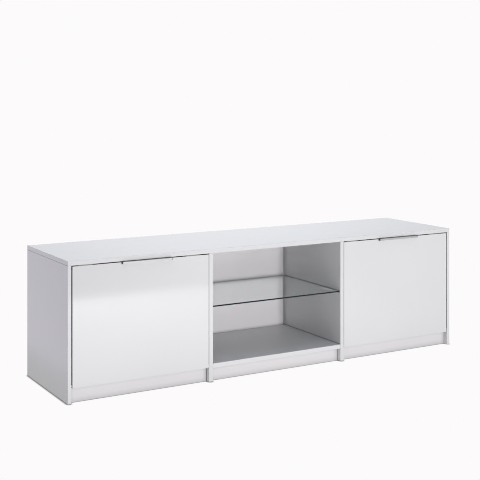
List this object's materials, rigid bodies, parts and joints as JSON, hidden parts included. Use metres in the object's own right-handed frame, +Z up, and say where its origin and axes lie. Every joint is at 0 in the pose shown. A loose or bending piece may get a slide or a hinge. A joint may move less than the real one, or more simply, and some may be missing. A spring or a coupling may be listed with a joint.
{
  "type": "tv bench with flap doors",
  "caption": "Low white gloss TV bench: closed bays with bottom-hinged flap doors at both ends, an open middle bay with a glass shelf, a recessed plinth and slim edge pulls.",
  "frame": {"origin": "on the floor, at the middle of the bench's outline with the door pulls included", "axes": "+Z up, +X to the right as seen from the front, -Y out of the front and the doors"},
  "size_m": [1.6, 0.409, 0.46],
  "materials": {
    "white_gloss_board": "gloss",
    "hardboard": "matte",
    "clear_glass": "polished",
    "satin_aluminium": "satin",
    "zinc_plated_steel": "satin",
    "cast_zinc": "satin",
    "white_nylon": "satin",
    "grey_nylon": "satin",
    "black_nylon": "satin",
    "black_rubber": "matte",
    "clear_sleeve": "satin",
    "beech": "matte",
    "magnet": "satin"
  },
  "bodies": {
    "carcass": {"cam_bolts": "zinc_plated_steel", "cam_locks": "cast_zinc", "catch_magnets": "magnet", "catch_screws": "zinc_plated_steel", "dowels": "beech", "glass_shelf": "clear_glass", "left_back_panel": "hardboard", "left_bottom_panel": "white_gloss_board", "left_magnetic_catches": "white_nylon", "left_partition": "white_gloss_board", "left_pivot_bushes": "white_nylon", "left_plinth": "white_gloss_board", "left_side_panel": "white_gloss_board", "left_stay_base": "zinc_plated_steel", "middle_back_panel": "white_gloss_board", "middle_bottom_panel": "white_gloss_board", "middle_plinth": "white_gloss_board", "plinth_bracket_screws": "zinc_plated_steel", "plinth_brackets": "white_nylon", "right_back_panel": "hardboard", "right_bottom_panel": "white_gloss_board", "right_magnetic_catches": "white_nylon", "right_partition": "white_gloss_board", "right_pivot_bushes": "white_nylon", "right_plinth": "white_gloss_board", "right_side_panel": "white_gloss_board", "right_stay_base": "zinc_plated_steel", "shelf_pin_sleeves": "clear_sleeve", "shelf_pins": "zinc_plated_steel", "stay_base_screws": "zinc_plated_steel", "top_panel": "white_gloss_board"},
    "left_door": {"left_door_panel": "white_gloss_board", "left_door_pull": "satin_aluminium", "left_pull_end_caps": "black_nylon", "left_door_screws": "zinc_plated_steel", "left_pivot_pins": "zinc_plated_steel", "left_stay_bracket": "zinc_plated_steel", "left_strike_plates": "zinc_plated_steel"},
    "left_stay_rod": {"left_stay_rod": "zinc_plated_steel", "left_stay_rod_stop": "black_rubber"},
    "left_stay_swivel": {"left_stay_housing": "grey_nylon", "left_stay_brake_screw": "grey_nylon"},
    "right_door": {"right_door_panel": "white_gloss_board", "right_door_pull": "satin_aluminium", "right_pull_end_caps": "black_nylon", "right_door_screws": "zinc_plated_steel", "right_pivot_pins": "zinc_plated_steel", "right_stay_bracket": "zinc_plated_steel", "right_strike_plates": "zinc_plated_steel"},
    "right_stay_rod": {"right_stay_rod": "zinc_plated_steel", "right_stay_rod_stop": "black_rubber"},
    "right_stay_swivel": {"right_stay_housing": "grey_nylon", "right_stay_brake_screw": "grey_nylon"}
  },
  "joints": [
    {"name": "left_door_flap", "type": "hinge", "parent": "carcass", "child": "left_door", "pos_m": [-0.5365, -0.188, 0.0575], "axis": [1, 0, 0], "range_deg": [0, 90]},
    {"name": "left_stay_rod_pivot", "type": "hinge", "parent": "left_door", "child": "left_stay_rod", "pos_m": [-0.7705, -0.1685, 0.20623], "axis": [1, 0, 0], "range_deg": [-45, 0]},
    {"name": "left_stay_swivel_pivot", "type": "hinge", "parent": "carcass", "child": "left_stay_swivel", "pos_m": [-0.7705, -0.08763, 0.16897], "axis": [1, 0, 0], "range_deg": [0, 45]},
    {"name": "right_door_flap", "type": "hinge", "parent": "carcass", "child": "right_door", "pos_m": [0.5365, -0.188, 0.0575], "axis": [1, 0, 0], "range_deg": [0, 90]},
    {"name": "right_stay_rod_pivot", "type": "hinge", "parent": "right_door", "child": "right_stay_rod", "pos_m": [0.7705, -0.1685, 0.20623], "axis": [1, 0, 0], "range_deg": [-45, 0]},
    {"name": "right_stay_swivel_pivot", "type": "hinge", "parent": "carcass", "child": "right_stay_swivel", "pos_m": [0.7705, -0.08763, 0.16897], "axis": [1, 0, 0], "range_deg": [0, 45]}
  ],
  "couplings": [
    {"joint": "left_stay_rod_pivot", "follows": "left_door_flap", "ratio": -0.5},
    {"joint": "left_stay_swivel_pivot", "follows": "left_door_flap", "ratio": 0.5},
    {"joint": "right_stay_rod_pivot", "follows": "right_door_flap", "ratio": -0.5},
    {"joint": "right_stay_swivel_pivot", "follows": "right_door_flap", "ratio": 0.5}
  ]
}
